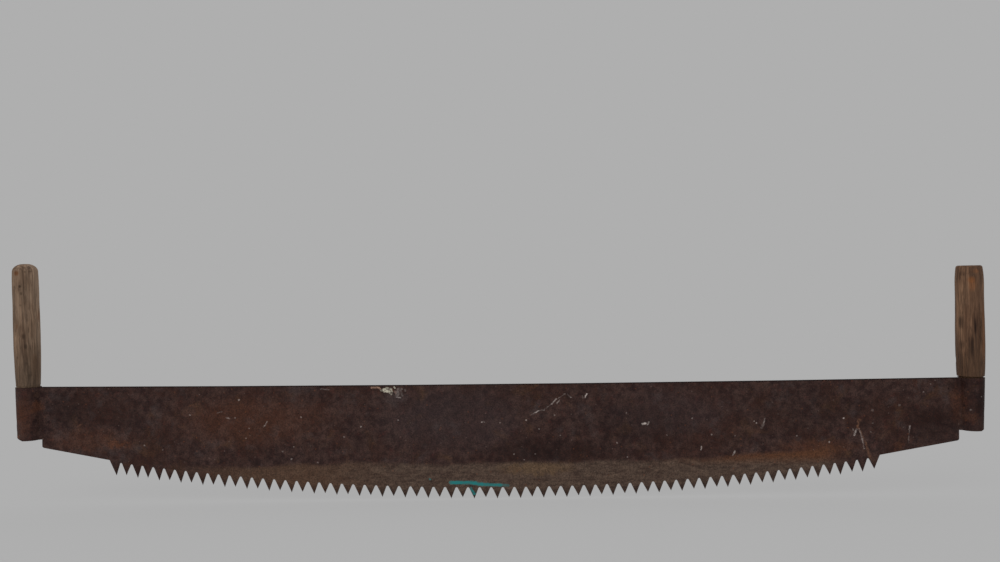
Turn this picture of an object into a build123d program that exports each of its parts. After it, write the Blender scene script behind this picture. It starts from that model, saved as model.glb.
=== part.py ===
"""Two-man crosscut saw: a bellied steel blade whose ends are rolled into sockets, and two upright wooden handles.

Millimetres. X runs along the blade, -Y is the front face, Z is up towards the back of the blade.
The origin is under the middle of the saw, level with the lowest tooth point, in the blade's mid-plane.
"""

import os
from math import asin, degrees, sin, sqrt

from build123d import *

os.makedirs("parts", exist_ok=True)

# Blade
sheet = 1.4  # thickness of the steel
blade_depth = 148.2  # from the lowest tooth point up to the back, at mid-length
back_hollow = 2.5  # the back's ends stand this much higher than its middle
end_low_left = 72.2  # height of the lower corners of the plate, below the sockets
end_low_right = 69.5
plate_corner_radius = 3.0
heel_left = Vector(-505.5, 55.2)  # where the toothless heels meet the first and last tooth
heel_right = Vector(489.5, 51.6)

# Sockets, rolled from the blade's own ends
socket_x = 609.5  # distance of each socket's axis from the middle of the saw
socket_length = 68.0
mouth_radius = 15.5  # outside, at the top
foot_radius = 13.6  # outside, at the bottom
neck_bend = 5.0  # mean radius of the bend from the flat plate into the roll
seam_gap = 2.0  # degrees of the roll left open at the back, beside the plate
rim_cut_left = Vector(13.5, 5.0)  # width and height of the slanting cut at the outer side of each lower rim
rim_cut_right = Vector(9.5, 3.4)

# Teeth: plain peg teeth, long and short in turn, filed and set to alternate sides
tooth_count = 68
tooth_pitch = 14.66  # mean, along the arc of the points
tooth_drift = 77.0  # how far the hand-spaced teeth wander from even spacing: most of them to the left
drift_turn = 0.74  # share of the row after which they wander to the right
belly_x = 5.5  # where the belly of the cutting edge is lowest
belly_tooth = 34.4  # teeth from the left end to that place
point_arc = 3620.0  # radius of the arc through the tooth points
gullet_arc = 3411.0  # radius of the arc through the gullets
gullet_height = 14.9  # of the lowest gullet
gullet_radius = 1.7
short_tooth = 2.2  # every second point stands back this far
point_lean = 0.6  # the points lean this far towards +X
tooth_set = 0.4  # sideways offset of a point from the blade's face
bevel_drop = 1.6  # how far the filed bevel lowers the blunt side of a point

# Handles: tapered feet in the sockets, hand-shaved grips above
foot_clearance = 0.08  # radial
foot_recess = 5.0  # the foot stops this far above the socket's lower rim
lean_left = 1.1  # degrees towards -X that the left grip leans
lean_right = 0.35
beside_left = -0.3  # X from the middle of the foot to the middle of the left grip
beside_right = -1.2
# Height above the mouth and radius, up the grip
left_grip_profile = ((5, 14.7), (15, 15.3), (34, 15.8), (71, 16.2), (105, 15.9), (130, 15.8), (149, 15.4))
left_end_round = (13.1, 10.0)  # width and height of the rounding of the left end
right_grip_profile = (
    (2, 16.4), (12, 17.0), (25, 17.4), (46, 17.8),
    (80, 17.4), (105, 17.1), (132, 16.9), (141.5, 15.9),
)
right_end_round = (3.0, 3.0)
shoulder_gap = 0.6  # the grips begin this far above the sockets

mouth_height = blade_depth + back_hollow
socket_bottom = mouth_height - socket_length


def arc_height(x, lowest, radius):
    """Height at x of an arc that is lowest under belly_x."""
    return lowest + radius - sqrt(radius**2 - (x - belly_x) ** 2)


def point(tooth):
    """The sharp point of a tooth, as x and z."""
    share = tooth / (tooth_count - 1)
    drift = tooth_drift * share * (1 - share) * (drift_turn - share)
    x = belly_x + point_arc * sin(((tooth - belly_tooth) * tooth_pitch - drift) / point_arc)
    return Vector(x, arc_height(x, tooth % 2 * short_tooth, point_arc))


def gullet_centre(gap):
    """Centre of the round gullet between a tooth and the next one."""
    x = (point(gap).X + point(gap + 1).X) / 2 - point_lean
    return Vector(x, arc_height(x, gullet_height, gullet_arc) - gullet_radius)


def flank_root(tooth, gap):
    """Where the straight flank from a tooth's point runs into the round gullet beside it."""
    reach = gullet_centre(gap) - point(tooth)
    swing = degrees(asin(gullet_radius / reach.length))
    towards_root = reach.normalized().rotate(Axis.Z, swing if gap == tooth else -swing)
    return point(tooth) + towards_root * sqrt(reach.length**2 - gullet_radius**2)


def tooth_roots(tooth):
    """The left and right ends of the line on which a tooth stands."""
    left = flank_root(tooth, tooth - 1) if tooth > 0 else heel_left
    right = flank_root(tooth, tooth) if tooth < tooth_count - 1 else heel_right
    return left, right


def neck_x(radius):
    """Where the flat plate starts to bend into a roll of this outside radius."""
    roll = radius - sheet / 2
    return socket_x - sqrt(roll**2 + 2 * roll * neck_bend)


# Each tooth stands on the line between its roots, filed to a bevel from one side and bent towards the other
with BuildPart() as teeth:
    for tooth in range(tooth_count):
        left, right = tooth_roots(tooth)
        root = (left + right) / 2
        along = (right - left).normalized()
        across = Vector(-along.Y, along.X)
        half_root = (right - left).length / 2
        tip = Vector((point(tooth) - root).dot(along), (point(tooth) - root).dot(across))
        blunt_tip = tip * (1 - bevel_drop / tip.length)
        sharp_side = -1 if tooth % 2 else 1
        bend = degrees(asin(tooth_set / tip.length)) * sharp_side
        run = Vector(along.X, 0, along.Y)
        facing = Vector(0, -1, 0).rotate(Axis((0, 0, 0), run), bend)
        for side, end in ((sharp_side, tip), (-sharp_side, blunt_tip)):
            with BuildSketch(Plane((root.X, side * sheet / 2, root.Y), x_dir=run, z_dir=facing)):
                Polygon((-half_root, 0), (end.X, end.Y), (half_root, 0))
        loft(ruled=True)


def rolled_socket(rim_cut):
    """The right end of the blade rolled forwards and round to the back, wider at the mouth, its foot cut aslant."""
    with BuildPart() as socket:
        for height, radius in ((socket_bottom, foot_radius), (mouth_height, mouth_radius)):
            neck = neck_x(radius)
            turn = degrees(asin(neck_bend / (radius - sheet / 2 + neck_bend)))
            with BuildSketch(Plane.XY.offset(height)):
                with BuildLine():
                    outside = CenterArc((socket_x, 0), radius, 180 + turn, 360 - turn - seam_gap)
                    inside = CenterArc((socket_x, 0), radius - sheet, 180 + turn, 360 - turn - seam_gap)
                    Line(outside @ 1, inside @ 1)
                    front_bend = CenterArc((neck, -neck_bend), neck_bend - sheet / 2, turn, 90 - turn)
                    back_bend = CenterArc((neck, -neck_bend), neck_bend + sheet / 2, turn, 90 - turn)
                    Line(front_bend @ 1, back_bend @ 1)
                make_face()
        loft(ruled=True)
        outer = socket_x + mouth_radius
        with BuildSketch(Plane.XZ):
            Polygon((outer, socket_bottom), (outer, socket_bottom + rim_cut.Y), (outer - rim_cut.X, socket_bottom))
        extrude(amount=mouth_radius, both=True, mode=Mode.SUBTRACT)
    return socket.part


with BuildPart() as blade:
    with BuildSketch(Plane.XZ) as plate:
        with BuildLine():
            back_right = (neck_x(mouth_radius), mouth_height)
            back_left = (-neck_x(mouth_radius), mouth_height)
            end_right = neck_x(foot_radius)
            ThreePointArc(back_left, (0, blade_depth), back_right)
            Polyline(back_right, (end_right, socket_bottom), (end_right, end_low_right), heel_right)
            Polyline(back_left, (-end_right, socket_bottom), (-end_right, end_low_left), heel_left)
            for tooth in range(tooth_count):
                Line(*tooth_roots(tooth))
            for gap in range(tooth_count - 1):
                deepest = gullet_centre(gap) + Vector(0, gullet_radius)
                ThreePointArc(flank_root(gap, gap), deepest, flank_root(gap + 1, gap))
        make_face()
        lower_corners = [v for v in plate.vertices() if abs(abs(v.X) - end_right) < 0.01 and v.Y < socket_bottom - 1]
        fillet(lower_corners, plate_corner_radius)
    extrude(amount=sheet / 2, both=True)
    add(teeth.part)
    add(rolled_socket(rim_cut_right))
    mirror(rolled_socket(rim_cut_left), about=Plane.YZ)


def bore_radius(depth):
    """Inside radius of a socket at a depth below its mouth."""
    return mouth_radius - sheet - (mouth_radius - foot_radius) * depth / socket_length


def shaved_handle(axis_x, lean, beside, profile, end_round):
    """A stick with a tapered foot in the socket and a hand-shaved grip above it, leaning towards -X."""
    foot_depth = socket_length - foot_recess
    foot_top = bore_radius(0) - foot_clearance
    foot_tip = bore_radius(foot_depth) - foot_clearance
    mouth = Plane(origin=(axis_x, 0, mouth_height), x_dir=(1, 0, 0), z_dir=(0, -1, 0))
    grip_foot = Plane(origin=(axis_x + beside, 0, mouth_height), x_dir=(1, 0, 0), z_dir=(0, -1, 0))
    stick = grip_foot.rotated((0, -lean, 0))
    first_height, first_radius = profile[0]
    last_height, last_radius = profile[-1]
    round_width, round_height = end_round
    shoulder = max(foot_top + shoulder_gap, first_radius - 1)
    foot = ((0, -foot_depth), (foot_tip, -foot_depth), (foot_top, 0), (foot_top, first_height), (0, first_height))
    with BuildPart() as handle:
        with BuildSketch(mouth):
            Polygon(*foot)
        revolve(axis=Axis(mouth.origin, mouth.y_dir))
        with BuildSketch(stick):
            with BuildLine():
                Polyline((0, shoulder_gap), (shoulder, shoulder_gap), (first_radius, first_height))
                Spline([(radius, height) for height, radius in profile])
                end_centre = (last_radius - round_width, last_height)
                end_arc = EllipticalCenterArc(end_centre, round_width, round_height, arc_size=90)
                Polyline(end_arc @ 1, (0, last_height + round_height), (0, shoulder_gap))
            make_face()
        revolve(axis=Axis(stick.origin, stick.y_dir))
    return handle.part


left_handle = shaved_handle(-socket_x, lean_left, beside_left, left_grip_profile, left_end_round)
right_handle = shaved_handle(socket_x, lean_right, beside_right, right_grip_profile, right_end_round)

for name, piece in (("blade", blade.part), ("left_handle", left_handle), ("right_handle", right_handle)):
    piece.label = name
    export_step(piece, f"parts/{name}.step")
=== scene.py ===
from math import cos, hypot, pi, radians, sin

import bpy
import numpy as np
from mathutils import Matrix, Vector, noise


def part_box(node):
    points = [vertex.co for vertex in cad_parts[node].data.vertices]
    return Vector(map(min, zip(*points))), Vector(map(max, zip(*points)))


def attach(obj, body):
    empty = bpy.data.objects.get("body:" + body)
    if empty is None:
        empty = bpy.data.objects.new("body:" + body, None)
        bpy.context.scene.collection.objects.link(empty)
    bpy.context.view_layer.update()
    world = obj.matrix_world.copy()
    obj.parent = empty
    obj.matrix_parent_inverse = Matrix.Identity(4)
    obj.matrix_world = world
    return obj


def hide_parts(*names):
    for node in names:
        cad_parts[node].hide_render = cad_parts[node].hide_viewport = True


# Looks of a two-man crosscut saw: rusted blade, two weathered handles, pale floor, soft light and camera.
# Metres, in the frame of the CAD model: +X along the blade, -Y is the front face, +Z is up.
# Lengths inside materials, and those of marks and dents, are in millimetres.
# Colours are display values, 0 to 255.

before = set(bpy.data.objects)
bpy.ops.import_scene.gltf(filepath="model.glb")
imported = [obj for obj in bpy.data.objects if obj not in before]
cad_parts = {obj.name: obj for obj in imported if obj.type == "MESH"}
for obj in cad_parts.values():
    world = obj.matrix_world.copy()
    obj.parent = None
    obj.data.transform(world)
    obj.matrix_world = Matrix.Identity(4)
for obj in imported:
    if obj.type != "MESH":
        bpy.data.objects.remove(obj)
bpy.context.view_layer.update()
MM = 0.001

# Light
backdrop_grey = 175  # display value of floor and surroundings
world_light = 0.4287  # the same grey, as light
key_light = 0.75  # the soft lamp in front, W/m2
rim_light = 0.45  # the soft lamp behind
key_height = 42  # degrees above the floor
rim_height = 48
floor_albedo = 0.08
albedo_gain = 1.5  # how much paler a material is than it shows in this light
gloss_haze = 0.0055  # light that the faint gloss adds everywhere

# The blade's shape
mouth_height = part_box("blade")[1].z
socket_axis = 0.6095
back_hollow = 2.5
back_half_length = 590.0
marks_base = 1.2  # heights of marks, patches and the worn band are counted from here
points_radius = 3620.0  # of the arc through the tooth points

# Handles
left_lean = radians(1.1)
right_lean = radians(0.35)
left_beside = -0.3  # from the middle of a handle's foot to the middle of its grip
right_beside = -1.2
shoulder_height = 0.6
foot_ease = 0.15  # keeps the round feet clear of the flat facets of the sockets' bores
foot_bevel = 1.2  # how much thinner the very end of a foot is
foot_wear = 0.3  # how much of the shaving a foot gets
foot_rings = 60
ring_spacing = 0.95
ring_points = 200
smoothing_passes = 12
end_sink = 0.2  # how far the middle of a handle's end lies below its rim

# Camera
focal_length = 33.42
camera_place = (0.0012, -1.2, 0.2813)
camera_roll = radians(-0.598)


# ---------------------------------------------------------------- colours and node graphs


def linear(display):
    """A display value from 0 to 255 as light."""
    share = display / 255
    return share / 12.92 if share <= 0.04045 else ((share + 0.055) / 1.055) ** 2.4


def paint(red, green, blue):
    """The paint that shows as this display colour in the scene's light."""
    seen = [max(linear(value) - gloss_haze, 0.001) for value in (red, green, blue)]
    return tuple(min(light * albedo_gain, 0.95) for light in seen) + (1.0,)


class Graph:
    """Builds a material's nodes. A value is a number, a colour, or another node's output."""

    def __init__(self, material):
        self.tree = material.node_tree

    def node(self, kind, values, output=0, **settings):
        node = self.tree.nodes.new("ShaderNode" + kind)
        for name, setting in settings.items():
            setattr(node, name, setting)
        for name, value in values.items():
            if isinstance(value, bpy.types.NodeSocket):
                self.tree.links.new(value, node.inputs[name])
            else:
                node.inputs[name].default_value = value
        return node.outputs[output]

    def math(self, operation, first, second=0.0):
        return self.node("Math", {0: first, 1: second}, operation=operation)

    def vector(self, operation, first, second=(0, 0, 0), output=0):
        return self.node("VectorMath", {0: first, 1: second}, output, operation=operation)

    def combine(self, x, y, z):
        return self.node("CombineXYZ", {0: x, 1: y, 2: z})

    def split(self, vector):
        return [self.node("SeparateXYZ", {0: vector}, axis) for axis in range(3)]

    def fade(self, value, start, end, low=0.0, high=1.0):
        """A smooth step from low, where value is start, to high, where it is end."""
        values = {0: value, 1: start, 2: end, 3: low, 4: high}
        return self.node("MapRange", values, interpolation_type="SMOOTHSTEP")

    def noise(self, place, size, detail=3.0, roughness=0.5, distortion=0.0):
        """Noise from 0 to 1, about 0.5, with features of this size."""
        values = {"Vector": place, "Scale": 1 / size, "Detail": detail}
        values.update({"Roughness": roughness, "Distortion": distortion})
        return self.node("TexNoise", values)

    def stretch(self, place, x, y, z):
        """Places scaled so that noise is drawn out this many times along each axis."""
        return self.vector("MULTIPLY", place, (1 / x, 1 / y, 1 / z))

    def shift(self, place, x, y, z):
        return self.vector("ADD", place, (x, y, z))

    def cover(self, under, over, amount, blend="MIX"):
        """One colour laid over another."""
        return self.node("Mix", {0: amount, 6: under, 7: over}, 2, data_type="RGBA", blend_type=blend)

    def stroke(self, place, start, end, width, strength=1.0):
        """A mark along a line: strength on it, fading to 0 at half its width."""
        line = (end[0] - start[0], 0, end[1] - start[1])
        from_start = self.vector("SUBTRACT", place, (start[0], 0, start[1]))
        reach = max(line[0] ** 2 + line[2] ** 2, 0.01)
        along = self.math("DIVIDE", self.vector("DOT_PRODUCT", from_start, line, 1), reach)
        along = self.node("Clamp", {0: along})
        nearest = self.node("VectorMath", {0: line, "Scale": along}, operation="SCALE")
        gap = self.vector("DISTANCE", from_start, nearest, 1)
        return self.fade(gap, width / 2, width / 5, 0.0, strength)

    def strokes(self, place, marks):
        """Several marks as one: each has a start, an end, a width and a strength."""
        total = 0.0
        for mark in marks:
            total = self.math("MAXIMUM", total, self.stroke(place, *mark))
        return total

    def blob(self, place, centre, size, strength=1.0):
        """A soft ellipsoid: strength at its centre, fading to 0 at half its size."""
        offset = self.vector("SUBTRACT", place, centre)
        gap = self.vector("LENGTH", self.stretch(offset, *[extent / 2 for extent in size]), output=1)
        return self.fade(gap, 1.0, 0.3, 0.0, strength)


def new_material(name):
    """An empty node material: its graph and its Principled shader."""
    material = bpy.data.materials.new(name)
    material.use_nodes = True
    return material, Graph(material), material.node_tree.nodes["Principled BSDF"]


def places(graph, turn=0.0):
    """The object's own coordinates in millimetres, turned about Y by an angle."""
    own = graph.node("TexCoord", {}, "Object")
    return graph.node("Mapping", {"Vector": own, "Rotation": (0, turn, 0), "Scale": (1000, 1000, 1000)})


def set_surface(graph, shader, colour, roughness, height, bump_depth, specular):
    """Colour, roughness and bump go to the shader. Bump depth is in millimetres."""
    graph.tree.links.new(colour, shader.inputs["Base Color"])
    graph.tree.links.new(roughness, shader.inputs["Roughness"])
    bump = graph.node("Bump", {"Height": height, "Distance": bump_depth * MM, "Strength": 1.0})
    graph.tree.links.new(bump, shader.inputs["Normal"])
    shader.inputs["Specular IOR Level"].default_value = specular


# ---------------------------------------------------------------- rusted steel

# Marks on the front face: (start x, z), (end x, z), width, strength
crayon = (
    ((-65, 20.3), (-39, 20), 6.2, 1.0),
    ((-39, 20), (-24, 17.6), 6.6, 1.0),
    ((-24, 17.6), (0, 16.4), 5.4, 0.9),
    ((0, 16.4), (9, 16), 4.6, 0.55),
    ((-39.4, 12.6), (-35, 5.4), 4.6, 0.85),
    ((-92.3, 25.2), (-91.5, 25), 3.2, 0.6),
)
white_scuffs = (
    ((-153, 140.4), (-149, 141.4), 4.6, 0.8),
    ((-150, 139.6), (-143, 139), 4.6, 0.85),
    ((-147, 143.6), (-141, 141.6), 4.0, 0.6),
    ((-143.6, 138), (-140.6, 135.4), 3.0, 0.75),
    ((-142, 141), (-140, 138.6), 3.6, 0.7),
    ((-137.2, 144.6), (-136.2, 143.4), 3.0, 0.75),
)
tan_scuffs = (
    ((-166, 144), (-158, 144.2), 3.6, 0.65),
    ((-158, 144.2), (-155, 142.6), 3.2, 0.75),
)
pale_scratches = (
    ((-133, 134.6), (-131.4, 141), 7.0, 0.24),
    ((-136, 139), (-133, 134), 3.0, 0.2),
    ((-130.5, 139), (-127.5, 142), 4.0, 0.18),
    ((-134.6, 131.8), (-129, 130.6), 2.0, 0.4),
    ((-128, 138), (-126.4, 133.4), 3.6, 0.15),
    ((-123, 141), (-122.6, 139), 3.0, 0.15),
    ((-305.9, 94.6), (-301.2, 101.8), 1.8, 0.4),
    ((-366, 113), (-360, 115), 1.8, 0.25),
    ((-354, 106.8), (-350, 106), 1.8, 0.3),
    ((-232, 143), (-221, 142), 2.0, 0.2),
    ((38.9, 106.6), (43, 108.6), 1.8, 0.2),
    ((43, 108.6), (50.5, 112.4), 2.2, 0.7),
    ((50.5, 112.4), (56.5, 112.8), 2.0, 0.35),
    ((56.5, 113.4), (66, 120.4), 1.5, 0.2),
    ((66, 120.4), (72.4, 127.2), 2.3, 0.5),
    ((73, 121.6), (76.4, 125.8), 2.0, 0.5),
    ((75.4, 128), (82, 132.6), 1.6, 0.25),
    ((82, 132.8), (83.6, 133), 2.8, 0.6),
    ((87, 132.4), (91.4, 128.8), 2.2, 0.35),
    ((112, 133), (109.4, 128.8), 2.0, 0.85),
    ((106, 130.6), (107, 128), 2.4, 0.15),
    ((183.4, 93.6), (187.6, 94.6), 3.4, 1.0),
    ((190, 92.6), (191.6, 96), 2.4, 0.45),
    ((459.6, 83.6), (457, 76.6), 3.4, 0.6),
    ((455, 84), (455.4, 82), 2.0, 0.3),
    ((463, 85), (466, 76), 2.0, 0.28),
    ((466, 76), (469.4, 59), 2.2, 0.38),
    ((528.8, 87.5), (527.8, 81), 2.6, 0.38),
    ((527.8, 81), (526.8, 66), 2.0, 0.18),
    ((340, 93), (341.4, 99), 2.2, 0.35),
    ((-24.3, 98.1), (-21, 98.4), 2.2, 0.35),
    ((258.9, 59.6), (259.2, 64), 2.0, 0.6),
    ((299.6, 51.6), (302.6, 57), 2.2, 0.6),
    ((337, 87), (339.4, 91.6), 4.4, 0.16),
)
# Round specks on the front face: x, z, width, strength
pale_specks = (
    (443.2, 98.4, 2.8, 0.95),
    (-24.3, 98.1, 2.8, 0.5),
    (-0.5, 97.1, 2.2, 0.35),
    (-132.3, 101.8, 2.4, 0.35),
    (33.1, 100.1, 3.0, 0.6),
    (49.8, 88.3, 2.6, 0.4),
    (70, 106.2, 2.4, 0.35),
    (163.2, 50.9, 2.6, 0.35),
    (480.4, 91.5, 2.4, 0.2),
    (478, 80, 2.4, 0.18),
    (546.6, 131, 2.4, 0.28),
    (601.5, 109, 2.6, 0.25),
    (615, 126, 2.2, 0.3),
    (-401, 111, 2.6, 0.4),
    (-337.5, 129.8, 2.8, 0.5),
    (-343, 106.6, 2.4, 0.4),
    (-329, 80.6, 2.4, 0.4),
    (-271, 52.9, 3.0, 0.4),
    (-202.3, 80.6, 2.4, 0.3),
    (-460.5, 72.3, 2.8, 0.35),
    (-436.8, 66.5, 2.8, 0.22),
    (17.1, 56.3, 2.2, 0.4),
    (44.3, 56.1, 2.2, 0.4),
    (30, 48.9, 2.2, 0.4),
    (515.4, 114.5, 4.0, 0.16),
    (561.9, 146, 2.4, 0.15),
    (76.9, 80, 2.4, 0.3),
    (424.4, 67.6, 2.6, 0.6),
    (555.7, 141.2, 2.4, 0.2),
    (480.4, 108.4, 5.0, 0.14),
    (-352, 107, 2.4, 0.35),
    (-325, 93, 2.4, 0.35),
    (-257.6, 106.8, 2.6, 0.4),
    (-267.4, 68.6, 2.6, 0.35),
    (-282, 62.8, 3.0, 0.25),
    (-236.8, 48, 3.0, 0.25),
    (-180.6, 93.9, 2.6, 0.5),
    (162.6, 108.1, 2.4, 0.3),
    (247.6, 100.5, 2.8, 0.3),
    (272.7, 78.9, 3.0, 0.35),
    (327.7, 95.5, 2.4, 0.5),
    (330.6, 93.1, 2.6, 0.6),
    (382.3, 75.9, 3.2, 0.35),
    (214.6, 78.6, 2.6, 0.2),
    (302.7, 76.8, 2.4, 0.25),
    (150.2, 69.6, 2.6, 0.35),
)
# Marks on the back face
back_scratches = (
    ((-420, 96), (-380, 108), 2.0, 0.4),
    ((-392, 92), (-384, 101), 2.4, 0.5),
    ((-120, 70), (-60, 84), 1.8, 0.35),
    ((150, 118), (232, 104), 1.8, 0.35),
    ((330, 80), (352, 96), 2.2, 0.45),
    ((20, 120), (26, 98), 2.2, 0.4),
    ((-520, 88), (-500, 110), 2.0, 0.3),
    ((-236, 124), (-230, 126), 3.0, 0.5),
)
# Rust blooms: x, z, width, height, strength
orange_rust = (
    (-496, 74.8, 46, 14, 0.6),
    (-618.5, 86, 13, 9, 0.9),
    (-139.2, 145, 5, 4, 1.0),
    (-136, 139, 4, 5, 0.7),
    (-152.5, 143, 4, 3, 0.7),
    (447.9, 88.5, 5, 4, 0.8),
    (515, 61, 22, 15, 0.2),
    (589, 116, 22, 66, 0.22),
    (602.5, 99, 24, 18, 0.22),
    (-597, 125, 18, 24, 0.45),
    (-612, 112, 34, 70, 0.3),
    (-320, 104, 280, 90, 0.25),
    (-530, 80, 150, 40, 0.25),
    (410, 62, 150, 24, 0.3),
)
dark_patches = (
    (60, 60, 230, 44, 0.55),
    (180, 92, 170, 70, 0.35),
    (-548.2, 137.2, 6, 6, 0.9),
    (-560, 120, 70, 60, 0.45),
    (615, 124, 26, 76, 0.8),
    (590, 141, 40, 20, 0.6),
    (606, 112, 44, 84, 0.35),
    (-520, 116, 150, 60, 0.18),
    (560, 90, 110, 70, 0.5),
    (-60, 120, 180, 40, 0.25),
    (400, 110, 260, 60, 0.2),
)
grey_blooms = (
    (-60, 102, 260, 120, 0.34),
    (220, 110, 220, 80, 0.22),
)
# Knocked places where brown paint or bark rubbed off: start, end, width, strength
brown_scrapes = (
    ((462.6, 96.5), (461, 85.5), 4.0, 0.7),
    ((465, 96), (463.5, 92), 3.4, 0.4),
    ((463.5, 84), (471.5, 66), 3.6, 0.35),
    ((471.5, 66), (477, 46), 4.4, 0.5),
    ((-546, 98.4), (-541, 101), 2.8, 0.35),
)


def rust_clouds(graph, place):
    """Layers of brown patina: broad clouds, mottling, orange blooms and fine grain."""
    broad = graph.noise(place, 60, 5, 0.6, 0.4)
    mottle = graph.noise(graph.shift(place, 31, 7, 5), 9, 6, 0.68)
    bloom = graph.noise(graph.shift(place, 90, 40, 12), 38, 6, 0.66, 0.8)
    bare = graph.noise(graph.shift(place, 200, 11, 77), 24, 5, 0.62)
    red = graph.noise(graph.shift(place, 17, 300, 51), 13, 5, 0.7)
    wiped = graph.noise(graph.stretch(graph.shift(place, 8, 61, 0), 1, 1, 9), 4, 4, 0.65)
    colour = graph.cover(paint(42, 30, 29), paint(64, 48, 44), graph.fade(mottle, 0.34, 0.66))
    colour = graph.cover(colour, paint(50, 32, 27), graph.fade(broad, 0.42, 0.64, 0.0, 0.6))
    colour = graph.cover(colour, paint(70, 40, 35), graph.fade(red, 0.54, 0.7, 0.0, 0.4))
    colour = graph.cover(colour, paint(80, 57, 40), graph.fade(bloom, 0.53, 0.76, 0.0, 0.55))
    colour = graph.cover(colour, paint(66, 57, 56), graph.fade(bare, 0.53, 0.72, 0.0, 0.5))
    return graph.cover(colour, paint(36, 26, 26), graph.fade(wiped, 0.52, 0.72, 0.0, 0.35))


def worn_band(graph, x, z, place):
    """1 on the paler band beside the teeth, where the saw was filed and rubbed, and 0 above it."""
    rise = graph.math("MULTIPLY", graph.math("MAXIMUM", graph.math("SUBTRACT", x, 225), 0), 0.08)
    wobble = graph.math("MULTIPLY", graph.math("SUBTRACT", graph.noise(place, 70, 4), 0.5), 16)
    height = graph.math("SUBTRACT", graph.math("SUBTRACT", z, rise), wobble)
    band = graph.fade(height, 48.5, 41)
    band = graph.math("MULTIPLY", band, graph.fade(x, -450, -300))
    return graph.math("MULTIPLY", band, graph.fade(x, 455, 405))


def painted_back_edge_shade(graph, x, z):
    """1 along the back edge of the plate, where a dark line of painted shade goes."""
    share = graph.math("DIVIDE", x, back_half_length)
    squared = graph.math("MULTIPLY", share, share)
    sag = graph.math("MULTIPLY", graph.math("SUBTRACT", 1, squared), back_hollow)
    back = mouth_height / MM - marks_base
    below = graph.math("SUBTRACT", back, graph.math("ADD", z, graph.math("MAXIMUM", sag, 0)))
    plate = graph.fade(graph.math("ABSOLUTE", x), 596, 590)
    return graph.math("MULTIPLY", graph.fade(below, 1.8, 0.7), plate)


def tooth_points(graph, x, z):
    """0 above the gullets and 1 at the points of the teeth."""
    belly = graph.math("DIVIDE", graph.math("MULTIPLY", x, x), 2 * points_radius)
    return graph.fade(graph.math("SUBTRACT", z, belly), 14, 4)


def face_marks(graph, place, colour):
    """Crayon, scuffs, scratches and specks on the front face, and scratches on the back."""
    wander = graph.node("TexNoise", {"Vector": place, "Scale": 0.4, "Detail": 2.0}, 1)
    wander = graph.vector("MULTIPLY", graph.vector("SUBTRACT", wander, (0.5, 0.5, 0.5)), (2.6, 0, 2.6))
    flat = graph.vector("MULTIPLY", place, (1, 0, 1))
    ragged = graph.vector("ADD", flat, wander)
    front = graph.fade(graph.split(place)[1], 0.2, -0.2)
    broken = graph.fade(graph.noise(place, 3.5, 4, 0.7), 0.4, 0.56, 0.2)
    faint = graph.math("MULTIPLY", front, broken)
    streaky = graph.fade(graph.noise(graph.stretch(place, 4, 1, 1), 2.2, 3, 0.7), 0.3, 0.6, 0.55)
    waxy = graph.math("MULTIPLY", front, streaky)
    specks = [((x, z), (x + 0.2, z), width, strength) for x, z, width, strength in pale_specks]
    layers = (
        (crayon, paint(38, 116, 116), waxy),
        (tan_scuffs, paint(165, 132, 112), faint),
        (brown_scrapes, paint(112, 80, 62), faint),
        (pale_scratches, paint(176, 164, 158), faint),
        (specks, paint(165, 152, 146), front),
        (white_scuffs, paint(196, 190, 172), faint),
    )
    for marks, over, amount in layers:
        mask = graph.math("MULTIPLY", graph.strokes(ragged, marks), amount)
        colour = graph.cover(colour, over, mask)
    back = graph.math("SUBTRACT", 1, front)
    scratched = graph.strokes(ragged, back_scratches)
    scratched = graph.math("MULTIPLY", scratched, graph.math("MULTIPLY", back, broken))
    return graph.cover(colour, paint(150, 138, 132), scratched)


def fine_specks(graph, place, size, share):
    """Tiny round specks on both faces: one in each cell of this size, in a share of the cells."""
    values = {"Vector": place, "Scale": 1 / size, "Randomness": 1.0}
    cells = graph.node("TexVoronoi", values)
    pick = graph.split(graph.node("TexVoronoi", values, 1))[0]
    spot = graph.fade(cells, 0.17, 0.07)
    return graph.math("MULTIPLY", spot, graph.fade(pick, share + 0.01, share - 0.01))


def patches(graph, place, spots):
    """Several soft patches as one mask, on both faces."""
    total = 0.0
    for x, z, width, height, strength in spots:
        total = graph.math("MAXIMUM", total, graph.blob(place, (x, 0, z), (width, 1, height), strength))
    return total


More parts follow.
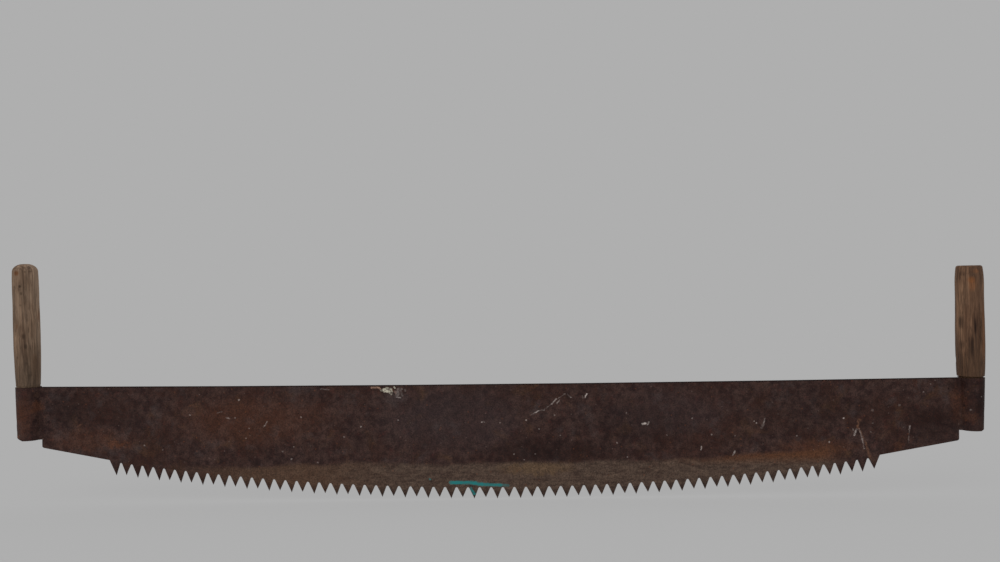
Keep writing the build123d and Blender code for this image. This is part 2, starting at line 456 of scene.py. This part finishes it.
def rusted_steel():
    """Brown rust patina on sheet steel, paler and smoother beside the teeth."""
    material, graph, shader = new_material("rusted_steel_patina")
    place = graph.shift(places(graph), 0, 0, -marks_base)
    x, _, z = graph.split(place)
    grain = graph.noise(place, 1.5, 3, 0.7)
    colour = rust_clouds(graph, place)

    warp = graph.node("TexNoise", {"Vector": place, "Scale": 0.12, "Detail": 4.0, "Roughness": 0.65}, 1)
    warp = graph.vector("MULTIPLY", graph.vector("SUBTRACT", warp, (0.5, 0.5, 0.5)), (26, 0, 26))
    drifting = graph.vector("MULTIPLY", graph.vector("ADD", place, warp), (1, 0, 1))
    colour = graph.cover(colour, paint(31, 21, 20), patches(graph, drifting, dark_patches))
    colour = graph.cover(colour, paint(60, 52, 53), patches(graph, drifting, grey_blooms))
    colour = graph.cover(colour, paint(88, 55, 39), patches(graph, drifting, orange_rust))

    band = worn_band(graph, x, z, place)
    worn = graph.noise(graph.stretch(place, 3, 1, 1), 5, 5, 0.7)
    worn_colour = graph.cover(paint(60, 47, 41), paint(86, 71, 61), graph.fade(worn, 0.3, 0.7))
    worn_colour = graph.cover(worn_colour, paint(78, 56, 42), graph.fade(x, -120, -260, 0.0, 0.6))
    rubbed = graph.blob(drifting, (45, 0, 38), (130, 1, 24), 0.6)
    worn_colour = graph.cover(worn_colour, paint(96, 76, 56), rubbed)
    warm = graph.math("MULTIPLY", graph.fade(x, 180, 310), graph.fade(z, 37, 53))
    worn_colour = graph.cover(worn_colour, paint(83, 52, 34), graph.math("MULTIPLY", warm, 0.85))
    colour = graph.cover(colour, worn_colour, graph.math("MULTIPLY", band, 0.9))
    colour = graph.cover(colour, paint(40, 29, 27), graph.math("MULTIPLY", tooth_points(graph, x, z), 0.6))

    # Painted shade: the back edge of the plate darkened to a dark line.
    colour = graph.cover(colour, paint(24, 16, 15), graph.math("MULTIPLY", painted_back_edge_shade(graph, x, z), 0.75))
    pits = graph.node("TexVoronoi", {"Vector": place, "Scale": 0.16, "Randomness": 1.0})
    pits = graph.fade(pits, 0.17, 0.06)
    pits = graph.math("MULTIPLY", pits, graph.fade(graph.noise(place, 30), 0.45, 0.6))
    colour = graph.cover(colour, paint(26, 17, 16), graph.math("MULTIPLY", pits, 0.7))
    flecks = fine_specks(graph, place, 6.5, 0.2)
    colour = graph.cover(colour, paint(100, 86, 80), graph.math("MULTIPLY", flecks, 0.4))
    rust_flecks = fine_specks(graph, graph.shift(place, 70, 30, 90), 9, 0.35)
    colour = graph.cover(colour, paint(98, 60, 42), graph.math("MULTIPLY", rust_flecks, 0.35))
    shade = graph.fade(grain, 0.28, 0.72, 0.55, 1.55)
    colour = graph.cover(colour, graph.combine(shade, shade, shade), 1.0, "MULTIPLY")
    colour = face_marks(graph, place, colour)

    roughness = graph.fade(grain, 0.3, 0.7, 0.58, 0.86)
    roughness = graph.math("SUBTRACT", roughness, graph.math("MULTIPLY", band, 0.14))
    height = graph.math("SUBTRACT", graph.noise(place, 2.6, 5, 0.7), graph.math("MULTIPLY", pits, 0.6))
    set_surface(graph, shader, colour, roughness, height, 0.22, 0.2)
    return material


# ---------------------------------------------------------------- weathered wood


def weathered_wood(name, light, middle, dark, foot_colour, stain, lean, pith, stains, spots):
    """Bare old wood along Z: rings cut by the shaved surface, fibres, pores, stains and a rust-marked foot.

    pith is the x, y of the tree's centre. Each stain or spot is a centre, a size and a strength.
    """
    material, graph, shader = new_material(name)
    place = places(graph, lean)
    x, y, z = graph.split(place)
    sway = graph.noise(graph.stretch(place, 1, 1, 5), 16, 3, 0.55)
    fibres = graph.noise(graph.stretch(place, 1, 1, 26), 1.7, 4, 0.68)
    streaks = graph.noise(graph.stretch(place, 1, 1, 14), 5.5, 4, 0.6, 0.3)
    tone = graph.noise(graph.stretch(place, 1, 1, 2.5), 22, 3, 0.55)
    pores = graph.fade(graph.noise(graph.stretch(place, 1, 1, 16), 0.7, 2, 0.6), 0.6, 0.74)

    from_pith = graph.combine(graph.math("SUBTRACT", x, pith[0]), graph.math("SUBTRACT", y, pith[1]), 0.0)
    ring = graph.math("ADD", graph.vector("LENGTH", from_pith, output=1), graph.math("MULTIPLY", sway, 13))
    ring = graph.math("SINE", graph.math("MULTIPLY", ring, 2.3))
    ring = graph.math("ADD", graph.math("MULTIPLY", ring, 0.5), 0.5)
    late_wood = graph.math("POWER", ring, 2.2)

    colour = graph.cover(paint(*middle), paint(*light), graph.fade(tone, 0.4, 0.66))
    palest = paint(*[value * 1.22 for value in light])
    colour = graph.cover(colour, palest, graph.fade(streaks, 0.46, 0.28, 0.0, 0.7))
    colour = graph.cover(colour, paint(*dark), graph.fade(streaks, 0.5, 0.7, 0.0, 0.75))
    colour = graph.cover(colour, paint(*dark), graph.math("MULTIPLY", late_wood, 0.45))
    for over, patches_of_it in ((stain, stains), (tuple(value * 0.45 for value in dark), spots)):
        for centre, size, strength in patches_of_it:
            shaken = graph.vector("ADD", place, graph.combine(graph.math("MULTIPLY", streaks, 5), 0.0, 0.0))
            shaken = graph.shift(shaken, -2.5, 0, 0)
            colour = graph.cover(colour, paint(*over), graph.blob(shaken, centre, size, strength))
    low = graph.fade(z, 66, 10, 0.0, 0.75)
    colour = graph.cover(colour, paint(*[value * 0.72 for value in middle]), low)
    colour = graph.cover(colour, paint(*foot_colour), graph.fade(z, 1.5, -1.5, 0.0, 0.85))
    shade = graph.fade(fibres, 0.28, 0.72, 0.66, 1.44)
    colour = graph.cover(colour, graph.combine(shade, shade, shade), 1.0, "MULTIPLY")
    darkest = paint(*[value * 0.4 for value in dark])
    colour = graph.cover(colour, darkest, graph.math("MULTIPLY", pores, 0.5))

    roughness = graph.fade(fibres, 0.3, 0.7, 0.62, 0.88)
    height = graph.math("SUBTRACT", graph.math("ADD", fibres, graph.math("MULTIPLY", ring, 0.2)), pores)
    set_surface(graph, shader, colour, roughness, height, 0.3, 0.2)
    return material


def grey_wood():
    """The left handle: greyish brown, browner near the socket."""
    return weathered_wood(
        "grey_weathered_wood_grain",
        light=(127, 107, 90),
        middle=(109, 89, 73),
        dark=(70, 54, 44),
        foot_colour=(84, 62, 44),
        stain=(92, 58, 34),
        lean=left_lean,
        pith=(4, 60),
        stains=(
            ((-4.4, -15, 147), (9, 20, 9), 0.8),
            ((15.8, 0, 93), (3.5, 16, 26), 0.6),
            ((-5.3, -14, 79), (5, 16, 9), 0.3),
            ((14, -8, 24), (14, 24, 50), 0.35),
        ),
        spots=(
            ((0.3, -15, 130), (5.5, 14, 6), 0.7),
            ((1.6, -15, 121), (4.5, 14, 6), 0.4),
            ((0.3, -15, 106), (5, 14, 4), 0.3),
            ((11.5, -9, 149), (3.5, 14, 4), 0.4),
            ((6.6, -14, 148.5), (3.5, 14, 4), 0.4),
            ((3.7, -15, 66), (5.5, 12, 11), 0.55),
            ((5.9, -14, 53), (4.5, 12, 9), 0.5),
            ((-6, -14, 39), (4, 14, 6), 0.35),
            ((6.2, -14, 31), (5, 14, 6), 0.3),
            ((7.7, -13, 16), (6, 14, 5), 0.3),
            ((-1.2, -14, 12), (5, 14, 5), 0.35),
            ((-4, 14, 96), (7, 14, 10), 0.6),
            ((6, 13, 30), (5, 14, 22), 0.4),
            ((16, -8, 26), (20, 26, 84), 0.3),
        ),
    )


def brown_wood():
    """The right handle: darker and redder, with long dark streaks."""
    return weathered_wood(
        "brown_weathered_wood_grain",
        light=(112, 86, 67),
        middle=(91, 68, 53),
        dark=(56, 40, 32),
        foot_colour=(80, 58, 42),
        stain=(122, 76, 44),
        lean=right_lean,
        pith=(-9, 44),
        stains=(
            ((-6.2, -15, 126), (13, 18, 12), 0.55),
            ((-5, -15, 119), (14, 18, 20), 0.35),
            ((-0.7, -15, 137), (12, 18, 8), 0.3),
            ((9.5, -13, 55), (10, 14, 110), 0.35),
            ((3, 16, 80), (12, 18, 60), 0.35),
        ),
        spots=(
            ((-3.3, -16, 66), (4.2, 12, 36), 0.85),
            ((-6.9, -16, 40), (4.8, 12, 42), 0.8),
            ((-16.3, -7, 72), (8, 14, 22), 0.6),
            ((-15.8, -8, 43), (7, 14, 16), 0.5),
            ((-15.5, 6, 66), (6, 16, 170), 0.5),
            ((-14.6, -9, 134), (9, 14, 10), 0.3),
            ((8, 14, 108), (6, 12, 12), 0.6),
            ((-4, 16, 34), (5, 12, 40), 0.5),
            ((0, -14, 64), (34, 24, 70), 0.16),
        ),
    )


# ---------------------------------------------------------------- handles


def grip_outline(node, mouth, along):
    """The grip's outline from its shoulder to the middle of its end: heights and radii in millimetres.

    Known fault: the shoulder's outermost point is dropped and the inner ones at its height are kept,
    so the grip has a groove just above the socket.
    """
    points = set()
    for vertex in node.data.vertices:
        offset = (vertex.co - mouth) / MM
        height = offset.dot(along)
        if height > shoulder_height - 0.1 and offset.z > shoulder_height - 0.4:
            points.add((round(height, 1), -round((offset - along * height).length, 2)))
    points.discard(min(points))
    rings = np.array([(height, -minus_radius) for height, minus_radius in sorted(points)])
    return np.vstack([rings[rings[:, 1] > 1], (rings[-1, 0], 0.0)])


def even_outline(outline, spacing):
    """The outline again, with points evenly spaced along it."""
    steps = np.hypot(*np.diff(outline, axis=0).T)
    travelled = np.concatenate([[0], np.cumsum(steps)])
    wanted = np.linspace(0, travelled[-1], int(travelled[-1] / spacing))
    heights = np.interp(wanted, travelled, outline[:, 0])
    radii = np.interp(wanted, travelled, outline[:, 1])
    return np.column_stack([heights, radii])


def smooth_radii(rings, first, last, passes):
    """Evens out the radii between two heights."""
    for _ in range(passes):
        middle = (rings[:-2, 1] + 2 * rings[1:-1, 1] + rings[2:, 1]) / 4
        inside = (rings[1:-1, 0] > first) & (rings[1:-1, 0] < last)
        rings[1:-1, 1] = np.where(inside, middle, rings[1:-1, 1])
    return rings


def shaved_off(height, angle, radius, style):
    """How far hand shaving, wear, cracks and dents bring the wood's surface in, in millimetres."""
    around = Vector((cos(angle), sin(angle), 0))
    facet = cos(angle * style["facets"] + style["twist"] * height)
    swell = noise.noise(around * 0.9 + Vector((0, 0, height / 38 + style["seed"])))
    ripple = noise.noise(around * 3.2 + Vector((0, 0, height / 15 + style["seed"] * 2)))
    fibre = noise.noise(around * 22 + Vector((0, 0, height / 20 + style["seed"] * 3)))
    depth = 0.3 + 0.12 * facet + 0.22 * swell + 0.14 * ripple + 0.08 * fibre
    for crack_angle, low, high, width, deep in style["cracks"]:
        middle, half = (low + high) / 2, (high - low) / 2
        share = 1 - ((height - middle) / half) ** 2
        if share > 0:
            wander = 0.05 * noise.noise(Vector((height / 12, crack_angle, style["seed"])))
            turn = (angle - crack_angle - wander + pi) % (2 * pi) - pi
            depth += deep * share**0.5 * max(0.0, 1 - (turn * radius / width) ** 2)
    for dent_angle, dent_height, size, deep in style["dents"]:
        turn = (angle - dent_angle + pi) % (2 * pi) - pi
        gap = hypot(turn * radius, height - dent_height) / size
        depth += deep * max(0.0, 1 - gap * gap) ** 2
    return max(depth, 0.02)


def tube_faces(rows):
    """Faces that join rings of points into a tube, with one face over its foot and a fan over its end."""
    faces = []
    for row in range(rows - 1):
        for step in range(ring_points):
            here = row * ring_points + step
            after = row * ring_points + (step + 1) % ring_points
            faces.append((here, after, after + ring_points, here + ring_points))
    faces.append(tuple(reversed(range(ring_points))))
    last = (rows - 1) * ring_points
    tip = rows * ring_points
    for step in range(ring_points):
        faces.append((last + step, last + (step + 1) % ring_points, tip))
    return faces


def foot_size(node, mouth):
    """The lowest height of the CAD foot, and its radius there and just below the mouth."""
    foot = [(vertex.co - mouth) / MM for vertex in node.data.vertices]
    foot = [offset for offset in foot if offset.z < -1]
    foot_low = min(offset.z for offset in foot)
    foot_tip = max(hypot(offset.x, offset.y) for offset in foot if offset.z < foot_low + 0.1)
    foot_top = max(hypot(offset.x, offset.y) for offset in foot) - 0.02
    return foot_low, foot_tip, foot_top


def shaved_handle(node_name, axis_x, lean, beside, style, material):
    """A handle in place of the CAD one: its tapered foot, and its grip with the marks of knife and hands."""
    mouth = Vector((axis_x, 0, mouth_height))
    along = Vector((-sin(lean), 0, cos(lean)))
    upright = Vector((0, 0, 1))
    grip_foot = Vector((beside, 0, 0))
    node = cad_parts[node_name]
    rings = even_outline(grip_outline(node, mouth + grip_foot * MM, along), ring_spacing)
    last_round = rings[-1, 0] - style["end_height"]
    rings = smooth_radii(rings, 6, last_round - 1, smoothing_passes)
    rings[0] += style["shoulder"]
    foot_low, foot_tip, foot_top = foot_size(node, mouth)
    verts = []

    def add_ring(height, radius, centre, up, wear):
        """One ring of the surface; wear is how much of the shaving it gets."""
        across = Vector((up.z, 0, -up.x))
        for step in range(ring_points):
            angle = 2 * pi * step / ring_points
            depth = shaved_off(height, angle, max(radius, 4), style) * wear
            out = max(radius - depth * min(1.0, radius / 5), 0.0)
            verts.append((centre + across * (cos(angle) * out) + Vector((0, sin(angle) * out, 0))) * MM)

    add_ring(foot_low, foot_tip - foot_bevel, upright * foot_low, upright, foot_wear)
    for share in np.linspace(0, 1, foot_rings):
        height = foot_low + 1 + share * (-foot_low - 0.6)
        radius = foot_tip + (foot_top - foot_tip) * (height - foot_low) / -foot_low - foot_ease
        add_ring(height, radius, upright * height, upright, foot_wear)
    for height, radius in rings[:-1]:
        sunk = 0.0
        if radius < style["end_flat"]:
            bumps = noise.noise(Vector((radius * 0.5, height, style["seed"] * 5)))
            sunk = 0.15 + 0.15 * bumps
        wear = min(1.0, 0.25 + max(height, 0) / 6)
        add_ring(height, radius, grip_foot + along * (height - sunk), along, wear)
    faces = tube_faces(len(verts) // ring_points)
    verts.append((grip_foot + along * (rings[-1, 0] - end_sink)) * MM)

    mesh = bpy.data.meshes.new(node_name + "_wood")
    mesh.from_pydata([tuple(vert) for vert in verts], [], faces)
    mesh.polygons.foreach_set("use_smooth", [True] * len(mesh.polygons))
    mesh.materials.append(material)
    mesh.update()
    handle = bpy.data.objects.new(node_name + "_wood", mesh)
    bpy.context.scene.collection.objects.link(handle)
    handle.matrix_world = Matrix.Translation(mouth)
    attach(handle, node_name)
    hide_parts(node_name)


# Cracks: angle about the handle, lowest and highest point, half-width, depth.
# Dents: angle, height, size, depth. Angle 0 is +X, and -pi/2 is the front.
# Shoulder: the height and radius added to the grip's lowest ring, to bring it closer to the socket.
left_style = {
    "seed": 3.1,
    "shoulder": (-0.2, 0.1),
    "facets": 7,
    "twist": 0.004,
    "end_height": 10,
    "end_flat": 3.0,
    "cracks": (
        (-1.95, 12, 62, 0.55, 0.7),
        (-1.2, 84, 138, 0.5, 0.55),
        (0.7, 20, 96, 0.6, 0.8),
        (2.2, 60, 150, 0.6, 0.8),
        (3.6, 8, 70, 0.5, 0.5),
    ),
    "dents": (
        (-2.0, 128, 4, 0.5),
        (-1.65, 66, 4.5, 0.35),
        (-0.6, 104, 5, 0.4),
        (1.2, 40, 6, 0.5),
        (2.9, 90, 5, 0.4),
    ),
}
right_style = {
    "seed": 8.4,
    "shoulder": (-0.4, 0.7),
    "facets": 6,
    "twist": 0.006,
    "end_height": 4,
    "end_flat": 13.0,
    "cracks": (
        (-1.27, 44, 90, 0.65, 0.9),
        (-1.42, 18, 54, 0.6, 0.8),
        (-2.3, 50, 132, 0.5, 0.5),
        (0.4, 10, 80, 0.6, 0.7),
        (1.7, 30, 140, 0.7, 1.0),
        (2.8, 70, 128, 0.5, 0.5),
    ),
    "dents": (
        (-2.4, 30, 5, 0.4),
        (-0.9, 118, 5, 0.45),
        (-1.8, 134, 4, 0.4),
        (0.9, 60, 6, 0.5),
        (2.6, 22, 5, 0.5),
    ),
}


# ---------------------------------------------------------------- floor, light and camera


def pale_floor():
    """A plain floor under the saw that thins out into the surroundings, which have the same grey."""
    bpy.ops.mesh.primitive_circle_add(vertices=96, radius=3.2, fill_type="NGON", location=(0, 0, 0))
    floor = bpy.context.object
    floor.name = "floor"
    material, graph, shader = new_material("pale_floor")
    shader.inputs["Base Color"].default_value = (floor_albedo, floor_albedo, floor_albedo, 1)
    shader.inputs["Roughness"].default_value = 1.0
    shader.inputs["Specular IOR Level"].default_value = 0.0
    shader.inputs["Emission Color"].default_value = (1, 1, 1, 1)
    shader.inputs["Emission Strength"].default_value = floor_glow
    distance = graph.vector("LENGTH", graph.node("TexCoord", {}, "Object"), output=1)
    graph.tree.links.new(graph.fade(distance, 3.0, 1.2), shader.inputs["Alpha"])
    floor.data.materials.append(material)


def soft_sun(name, strength, width, turn, height):
    """A very wide soft lamp, far off, at an azimuth and elevation in degrees. Azimuth 0 is in front."""
    lamp = bpy.data.lights.new(name, "SUN")
    lamp.energy = strength
    lamp.angle = radians(width)
    lamp_object = bpy.data.objects.new(name, lamp)
    lamp_object.rotation_euler = (radians(90 - height), 0, radians(turn))
    bpy.context.scene.collection.objects.link(lamp_object)


def surroundings():
    """Even grey light from everywhere, which is also the backdrop."""
    world = bpy.data.worlds.new("studio")
    world.use_nodes = True
    background = world.node_tree.nodes["Background"]
    background.inputs["Color"].default_value = (world_light, world_light, world_light, 1)
    background.inputs["Strength"].default_value = 1.0
    bpy.context.scene.world = world
    bpy.context.scene.view_settings.view_transform = "Standard"
    bpy.context.scene.view_settings.look = "None"


def camera():
    """In front of the saw, level, and rolled a little: the right end stands higher in the picture."""
    lens = bpy.data.cameras.new("camera")
    lens.lens = focal_length
    lens.sensor_width = 36
    lens.clip_end = 50
    camera_object = bpy.data.objects.new("camera", lens)
    look = Matrix.Rotation(radians(90), 4, "X") @ Matrix.Rotation(camera_roll, 4, "Z")
    camera_object.matrix_world = Matrix.Translation(camera_place) @ look
    bpy.context.scene.collection.objects.link(camera_object)
    bpy.context.scene.camera = camera_object


sun_on_floor = (key_light * sin(radians(key_height)) + rim_light * sin(radians(rim_height))) / pi
floor_glow = linear(backdrop_grey) - floor_albedo * (world_light + sun_on_floor)

surroundings()
pale_floor()
soft_sun("key", key_light, width=50, turn=-28, height=key_height)
soft_sun("rim", rim_light, width=60, turn=150, height=rim_height)
camera()

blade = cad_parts["blade"]
blade.data.materials.clear()
blade.data.materials.append(rusted_steel())
wood = grey_wood()
shaved_handle("left_handle", -socket_axis, left_lean, left_beside, left_style, wood)
wood = brown_wood()
shaved_handle("right_handle", socket_axis, right_lean, right_beside, right_style, wood)
